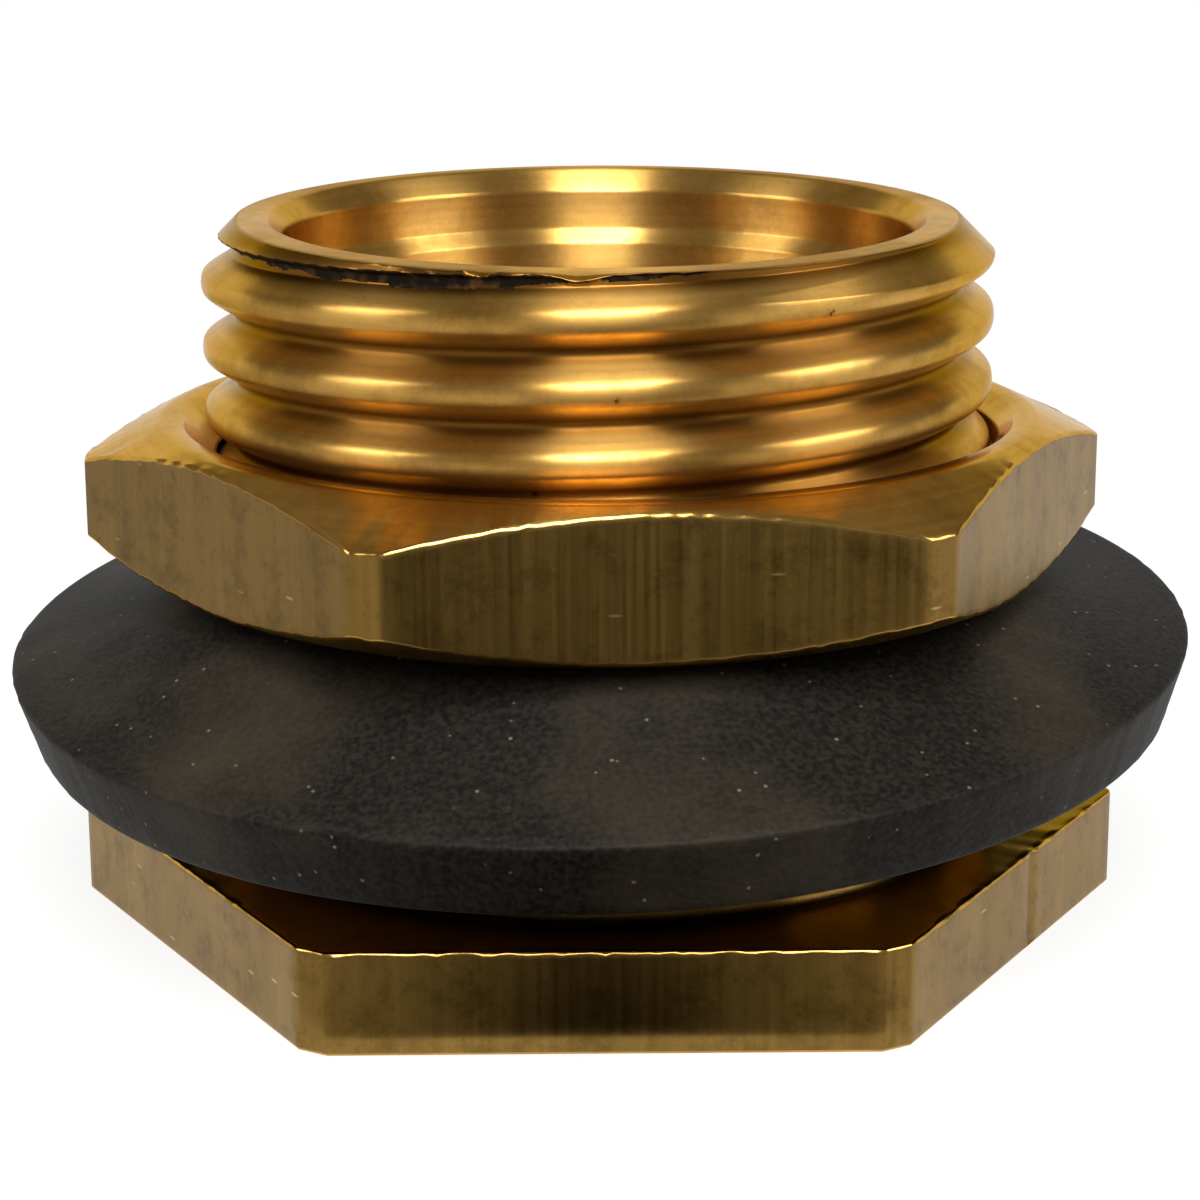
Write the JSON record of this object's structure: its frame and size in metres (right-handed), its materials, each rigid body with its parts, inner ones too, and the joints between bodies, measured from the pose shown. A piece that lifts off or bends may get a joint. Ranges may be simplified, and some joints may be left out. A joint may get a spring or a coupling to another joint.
{
  "type": "cooler drain fitting",
  "caption": "Brass drain fitting for a cooler pan: hex-flanged body with a hose thread and through bore, rubber sealing washer and hex lock nut that screws along it.",
  "frame": {"origin": "on the fitting's axis, on the underside of the hex flange", "axes": "+Z along the axis from the flange to the hose end, +X towards a corner of the flange, -Y is the side the picture shows"},
  "size_m": [0.0408, 0.0406, 0.0242],
  "materials": {
    "body_brass": "turned and threaded, bare",
    "nut_brass": "drawn hex bar flats, turned chamfers, bare",
    "washer_rubber": "matte black rubber, slightly dusty"
  },
  "bodies": {
    "drain_body": {"drain_body": "body_brass"},
    "sealing_washer": {"sealing_washer": "washer_rubber"},
    "lock_nut": {"lock_nut": "nut_brass"}
  },
  "joints": [
    {"name": "washer_slide", "type": "slide", "parent": "drain_body", "child": "sealing_washer", "axis": [0, 0, 1], "range_m": [-0.0026, 0.01]},
    {"name": "nut_turn", "type": "hinge", "parent": "sealing_washer", "child": "lock_nut", "pos_m": [0, 0, 0.0147], "axis": [0, 0, 1], "range_deg": [-420, 1620]}
  ],
  "couplings": [
    {"joint": "washer_slide", "follows": "nut_turn", "m_per_rad": 0.00035152}
  ]
}
